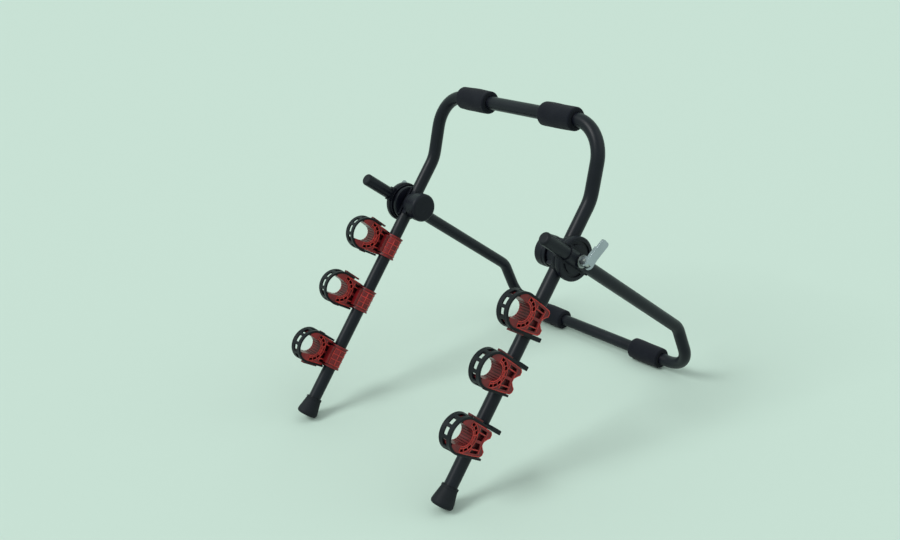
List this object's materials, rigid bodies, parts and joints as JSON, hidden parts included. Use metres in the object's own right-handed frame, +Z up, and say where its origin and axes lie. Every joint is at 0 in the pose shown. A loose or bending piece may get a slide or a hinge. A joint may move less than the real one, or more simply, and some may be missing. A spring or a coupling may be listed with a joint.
{
  "type": "rear bike rack",
  "caption": "Folding rear bike rack: a bent tube frame with red strap-down cradles on its legs, a padded support frame and cam-locked toothed hubs.",
  "frame": {"origin": "on the floor, under the middle of the rack's bounding box", "axes": "+X to the right across the rack, +Y from the legs' feet toward the support frame's lower crossbar, +Z up"},
  "size_m": [0.5908, 0.6478, 0.5895],
  "materials": {
    "frame_paint": "satin black powder coat",
    "cap_rubber": "matte black rubber",
    "plug_plastic": "matte black plastic",
    "pad_foam": "closed-cell foam, matte charcoal",
    "hub_plastic": "glass-filled black plastic, fine grain",
    "cradle_plastic": "moulded dark red plastic, soft sheen",
    "strap_rubber": "matte black rubber",
    "lever_chrome": "bright plated steel",
    "zinc_steel": "zinc plated"
  },
  "bodies": {
    "main_frame": {"main_frame": "frame_paint", "left_end_cap": "cap_rubber", "right_end_cap": "cap_rubber", "left_upper_pad": "pad_foam", "right_upper_pad": "pad_foam", "left_hub_knob": "hub_plastic", "right_hub_knob": "hub_plastic", "left_leg_saddle": "hub_plastic", "right_leg_saddle": "hub_plastic", "left_leg_ratchet": "hub_plastic", "right_leg_ratchet": "hub_plastic", "hub_bolts": "zinc_steel", "hub_nuts": "zinc_steel", "cam_washers": "zinc_steel", "cam_pins": "zinc_steel"},
    "support": {"support_frame": "frame_paint", "left_stub_plug": "plug_plastic", "right_stub_plug": "plug_plastic", "left_lower_pad": "pad_foam", "right_lower_pad": "pad_foam", "left_arm_ratchet": "hub_plastic", "right_arm_ratchet": "hub_plastic", "left_arm_saddle": "hub_plastic", "right_arm_saddle": "hub_plastic"},
    "left_lever": {"left_cam_lever": "lever_chrome"},
    "right_lever": {"right_cam_lever": "lever_chrome"},
    "left_cradle_1_body": {"left_cradle_1": "cradle_plastic", "left_strap_1": "strap_rubber"},
    "left_cradle_2_body": {"left_cradle_2": "cradle_plastic", "left_strap_2": "strap_rubber"},
    "left_cradle_3_body": {"left_cradle_3": "cradle_plastic", "left_strap_3": "strap_rubber"},
    "right_cradle_1_body": {"right_cradle_1": "cradle_plastic", "right_strap_1": "strap_rubber"},
    "right_cradle_2_body": {"right_cradle_2": "cradle_plastic", "right_strap_2": "strap_rubber"},
    "right_cradle_3_body": {"right_cradle_3": "cradle_plastic", "right_strap_3": "strap_rubber"}
  },
  "joints": [
    {"name": "support_fold", "type": "hinge", "parent": "main_frame", "child": "support", "pos_m": [0, 0.0139, 0.36513], "axis": [1, 0, 0], "range_deg": [-58, 25]},
    {"name": "left_lever_open", "type": "hinge", "parent": "main_frame", "child": "left_lever", "pos_m": [-0.2825, 0.0139, 0.36513], "axis": [0, -0.4291, 0.9032], "range_deg": [0, 110]},
    {"name": "right_lever_open", "type": "hinge", "parent": "main_frame", "child": "right_lever", "pos_m": [0.2825, 0.0139, 0.36513], "axis": [0, 0.6349, -0.7726], "range_deg": [0, 110]},
    {"name": "left_cradle_1_swivel", "type": "hinge", "parent": "main_frame", "child": "left_cradle_1_body", "pos_m": [-0.2248, -0.05242, 0.29298], "axis": [0, -0.6767, -0.7363], "range_deg": [-41, 29]},
    {"name": "left_cradle_2_swivel", "type": "hinge", "parent": "main_frame", "child": "left_cradle_2_body", "pos_m": [-0.2248, -0.13464, 0.20353], "axis": [0, -0.6767, -0.7363], "range_deg": [-40, 30]},
    {"name": "left_cradle_3_swivel", "type": "hinge", "parent": "main_frame", "child": "left_cradle_3_body", "pos_m": [-0.2248, -0.22227, 0.10818], "axis": [0, -0.6767, -0.7363], "range_deg": [-32, 38]},
    {"name": "right_cradle_1_swivel", "type": "hinge", "parent": "main_frame", "child": "right_cradle_1_body", "pos_m": [0.2248, -0.06933, 0.27458], "axis": [0, 0.6767, 0.7363], "range_deg": [-33, 37]},
    {"name": "right_cradle_2_swivel", "type": "hinge", "parent": "main_frame", "child": "right_cradle_2_body", "pos_m": [0.2248, -0.14377, 0.19359], "axis": [0, 0.6767, 0.7363], "range_deg": [-35, 35]},
    {"name": "right_cradle_3_swivel", "type": "hinge", "parent": "main_frame", "child": "right_cradle_3_body", "pos_m": [0.2248, -0.22362, 0.10671], "axis": [0, 0.6767, 0.7363], "range_deg": [-38, 32]}
  ]
}
